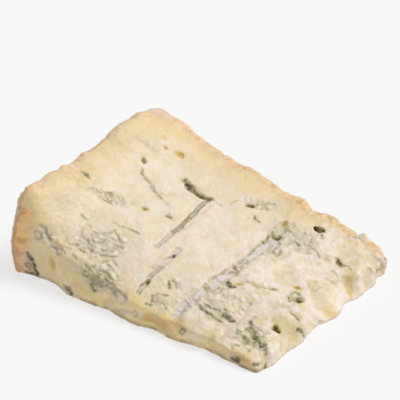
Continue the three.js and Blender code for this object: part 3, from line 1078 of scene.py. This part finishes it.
def hollowed(n, base, ragged):
    """Olive walls of the open hollows, darkest in the middle, where the dark is partly the mould's own
    colour and partly painted shade inside the hollow.
    """
    hollow = n.add(n.read("hollow"), n.times(ragged, 0.5))
    # The deeper stops are partly dark mould and partly painted shade in the hollow
    stops = [(0.0, "hollow_edge"), (0.35, "hollow"), (0.7, "hollow_deep"), (1.0, "hollow_core")]
    return n.mix(n.step(hollow, -0.4, 0.2), base, n.ramp(hollow, stops))


def veined(n, base, strong, ragged):
    """The mould of veins and crevices, with a haze round the drawn veins."""
    haze = n.add(n.read("haze"), n.times(ragged, 0.6))
    base = n.paint(base, "vein_edge", n.step(haze, 0.15, 0.8), 0.5)
    tone = n.ramp(strong, [(0.0, "vein_edge"), (0.55, "vein"), (0.98, "vein_core")])
    tone = n.paint(tone, "scab", n.step(n.read("brown"), 0.2, 0.9), 0.8)
    return n.mix(n.step(strong, -0.1, 0.95), base, tone)


def set_sheen(n, is_paste):
    """Moist paste, glossier in patches, and a duller rind."""
    wet = n.step(n.noise(5, 2), 0.35, 0.65)
    gloss = n.add(n.times(wet, 0.14), 0.42)
    gloss = n.add(gloss, n.times(n.less(1.0, is_paste), 0.25))
    n.give(n.shader.inputs["Roughness"], gloss)
    glow = {
        "Specular IOR Level": 0.35,
        "Subsurface Weight": 0.15,
        "Subsurface Radius": (1.0, 0.7, 0.35),
        "Subsurface Scale": 2.0 * MM,
    }
    set_inputs(n.shader, glow)


def set_bumps(n, strong):
    """Fine bumps of the paste, lower under the veins."""
    height = n.add(n.times(n.noise(0.8, 3), 0.3), n.times(n.noise(2.2, 3), 0.8))
    height = n.less(height, n.times(n.step(strong, 0.0, 0.6), 0.35))
    bump = n.new("Bump")
    set_inputs(bump, {"Strength": 0.9, "Distance": 0.7 * MM})
    n.give(bump.inputs["Height"], height)
    n.give(n.shader.inputs["Normal"], bump.outputs["Normal"])


def cheese_material():
    n = Nodes("cheese")
    ragged = n.sway(1.0, 1.1, 2, 0.2)
    cloudy = n.sway(1.0, 3.5, 3)
    depth = n.add(n.read("rind"), n.times(cloudy, 2.5))
    soft = n.times(n.read("front"), 3.0)
    is_paste = n.step(depth, n.less(1.2, soft), n.add(2.4, soft))
    density = n.add(n.read("bloom"), n.times(cloudy, 0.9))
    strong = n.most(line_strength(n, ragged), crevice_strength(n, density, ragged))

    base = n.mix(is_paste, rind_colour(n, depth), paste_colour(n, depth))
    base = mouldy(n, base, density, ragged)
    base = channelled(n, base)
    base = hollowed(n, base, ragged)
    base = veined(n, base, strong, ragged)
    n.give(n.shader.inputs["Base Color"], base)
    set_sheen(n, is_paste)
    set_bumps(n, strong)
    return n.material


def pits(places):
    """1 in the middle of the small pits between lumps of curd."""
    return smoothstep(noise(places, 2.8, 61), 0.3, 0.7)


def relief(places, normals, fields, lines):
    """How far the surface stands out from the smoothed solid at each place, in mm."""
    rind = 1 - smoothstep(fields["rind"], 1.0, 3.0)
    patchy = 0.3 + 0.7 * smoothstep(noise(places, 7, 13), -0.25, 0.3)
    crumb = smoothstep(fields["bloom"], 0.1, 0.7) * patchy
    height = 0.30 * rough(places, 7.0, 3, 3) + 0.08 * rough(places, 2.2, 2, 7)
    lumps = smoothstep(fields["crevice"], 0.0, 0.9) - 0.7
    height += crumb * (1.1 * lumps + 0.6 * rough(places, 3.2, 2, 11) - 0.9 * pits(places))
    thin = smoothstep(places[:, 0], 12, 32)
    height += thin * (0.5 * rough(places, 7.5, 2, 27) + 0.3 * rough(places, 3.4, 2, 33))
    nose = smoothstep(normals[:, 0], 0.15, 0.45) * smoothstep(places[:, 0], 50, 60)
    flutes = [size * np.exp(-(((places[:, 1] - y) / half) ** 2)) for y, half, size in NOSE_FLUTES]
    height += nose * sum(flutes)
    for middle, half, size in SWELLS:
        height += size * np.exp(-(((places[:, :2] - middle) / half) ** 2).sum(1))
    chips = np.tanh(3.0 * noise(places, 6.0, 17))
    height += rind * (0.3 * chips + 0.35 * rough(places, 2.4, 2, 19))
    flaky = rind * thin * smoothstep(normals[:, 2], 0.05, 0.6)
    height += 0.4 * flaky * np.tanh(2.5 * noise(places, 1.9, 23))
    level = smoothstep(normals[:, 2], 0.4, 0.85)
    # Channels are cut in where the surface is level, and filled up on steep walls
    height += fields["channel"] * (CHANNEL_DEPTH - 2 * CHANNEL_DEPTH * level)
    height -= VEIN_DEPTH * lines.strength() * (0.3 + 0.7 * level)
    height -= HOLLOW_DEPTH * np.clip(fields["hollow"], 0, 1) ** 0.7
    rising = smoothstep(places[:, 2], 0.2, 2.5)
    return np.where(normals[:, 2] < -0.7, 0, height * rising)


def surface_fields(surface, places, normals, lines):
    """Everything that the material reads from a place on the surface."""
    uneven = wavering(places, 0.5, 2.8, 71)
    cloudy = wavering(places, 1.5, 6, 81)
    bloom = soft_field(surface, cloudy, ((BLOOMS, "upper"), (FRONT_BLOOMS, "front"), (END_BLOOMS, "end")))
    front = smoothstep(-normals[:, 1], 0.1, 0.8) * smoothstep(-places[:, 1], 38, 47)
    rind = rind_depth(places, front)
    hollow = oval_field(surface, uneven, ((HOLLOWS, "upper"), (FRONT_HOLLOWS, "front")))
    return {
        "hollow": hollow,
        "bloom": np.maximum(bloom, 0.6 * lines.haze),
        "haze": lines.haze,
        "amber": soft_field(
            surface, cloudy, ((AMBERS, "upper"), (END_AMBERS, "end"), (FRONT_AMBERS, "front"))
        ),
        "moss": soft_field(surface, cloudy, ((MOSSES, "upper"), (END_MOSSES, "end"))),
        "brown": soft_field(surface, uneven, ((FRONT_BROWNS, "front"), (END_BROWNS, "end"))),
        "foot": np.where(front > 0.5, places[:, 2], AWAY["foot"]),
        "crevice": crevice_distance(places),
        "rind": rind,
        "warm": warmth(places, rind),
        "skin": rind_skin(normals),
        "channel": channel_depth(surface, places, normals),
        "front": front,
        "line_side_a": lines.side[:, :3],
        "line_side_b": lines.side[:, 3:],
        "line_tone_a": lines.tone[:, :3],
        "line_tone_b": lines.tone[:, 3:],
    }


def underside_fields(places, fields):
    """The same fields on the underside, which is a cut face too, with mould of its own."""
    below = {
        name: np.full((len(places),) + values.shape[1:], AWAY.get(name, 0.0))
        for name, values in fields.items()
    }
    below["rind"] = rind_depth(places, 1.0)
    below["bloom"] = 0.9 * smoothstep(noise(places, 22, 91), 0.0, 0.7)
    return below


def add_attributes(mesh, fields):
    for name, values in fields.items():
        kind, key = ("FLOAT", "value") if values.ndim == 1 else ("FLOAT_VECTOR", "vector")
        layer = mesh.attributes.new(name, kind, "POINT")
        layer.data.foreach_set(key, values.astype(np.float32).ravel())


def shaped_surface(node):
    """The solid's surface with its relief, as places, squares, underside triangles and fields."""
    places, faces = remeshed(node)
    edges = face_edges(faces)
    edges = np.unique(np.concatenate([edges, edges[:, ::-1]]), axis=0)
    places, resting = smoothed(places, edges, SMOOTHING_STEPS)
    normals = vertex_normals(places, faces)
    surface = Surface(node)
    lines = drawn_lines(surface, places, normals)
    fields = surface_fields(surface, places, normals, lines)
    # The rind shows as a thin rim all along its edges
    fields["rind"] -= RIM_DEPTH * near_skin(fields["skin"], edges)
    fields["raised"] = relief(places, normals, fields, lines)
    places = places + normals * fields["raised"][:, None]
    places[resting, 2] = 0
    places[:, 2] = np.maximum(places[:, 2], 0)
    count = len(places)
    places, kept, under = filled_underside(places, faces, resting)
    below = underside_fields(places[count:], fields)
    fields = {name: np.concatenate([fields[name], below[name]]) for name in fields}
    return places, kept, under, fields


def cheese_piece(node):
    places, kept, under, fields = shaped_surface(node)
    used = np.unique(np.concatenate([kept.ravel(), under.ravel()]))
    number = np.full(len(places), -1)
    number[used] = np.arange(len(used))
    mesh = bpy.data.meshes.new("gorgonzola_wedge")
    mesh.from_pydata((places[used] * MM).tolist(), [], number[kept].tolist() + number[under].tolist())
    add_attributes(mesh, {name: values[used] for name, values in fields.items()})
    mesh.shade_smooth()
    mesh.materials.append(cheese_material())
    piece = placed("gorgonzola_wedge", mesh)
    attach(piece, "root")
    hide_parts("cheese_wedge")
    return 2 * len(kept) + len(under)


def add_floor():
    """A pale floor that glows a little, like a light table, so that the shadow on it is faint."""
    mesh = bpy.data.meshes.new("floor")
    far = FLOOR_REACH
    mesh.from_pydata([(-far, -far, 0), (far, -far, 0), (far, far, 0), (-far, far, 0)], [], [(0, 1, 2, 3)])
    floor = placed("floor", mesh)
    material = bpy.data.materials.new("floor")
    material.use_nodes = True
    looks = {
        "Base Color": colour("floor"),
        "Emission Color": colour("glow"),
        "Emission Strength": 1.0,
        "Roughness": 0.9,
        "Specular IOR Level": 0.0,
    }
    set_inputs(material.node_tree.nodes["Principled BSDF"], looks)
    mesh.materials.append(material)


def add_camera():
    azimuth = math.radians(CAMERA_AZIMUTH)
    elevation = math.radians(CAMERA_ELEVATION)
    level = Vector((math.sin(azimuth), -math.cos(azimuth), 0))
    back = level * math.cos(elevation) + Vector((0, 0, math.sin(elevation)))
    right = Vector((math.cos(azimuth), math.sin(azimuth), 0))
    up = back.cross(right)
    camera = placed("camera", bpy.data.cameras.new("camera"))
    camera.location = back * CAMERA_DISTANCE * MM
    aim = (right * AIM_RIGHT + up * AIM_UP) * MM
    camera.rotation_euler = (aim - camera.location).to_track_quat("-Z", "Y").to_euler()
    camera.data.lens = CAMERA_LENS
    camera.data.sensor_width = SENSOR_WIDTH
    camera.data.clip_start = 0.01
    bpy.context.scene.camera = camera


def add_lights():
    key = placed("key", bpy.data.lights.new("key", "SUN"))
    key.data.energy = KEY_ENERGY
    key.data.angle = math.radians(KEY_SPREAD)
    key.rotation_euler = Vector(KEY_WAY).to_track_quat("-Z", "Y").to_euler()
    world = bpy.data.worlds.new("studio")
    world.use_nodes = True
    sky = {"Color": (1, 1, 1, 1), "Strength": SKY_STRENGTH}
    set_inputs(world.node_tree.nodes["Background"], sky)
    bpy.context.scene.world = world
    bpy.context.scene.view_settings.view_transform = "Standard"


add_camera()
add_floor()
add_lights()
triangles = cheese_piece(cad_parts["cheese_wedge"])
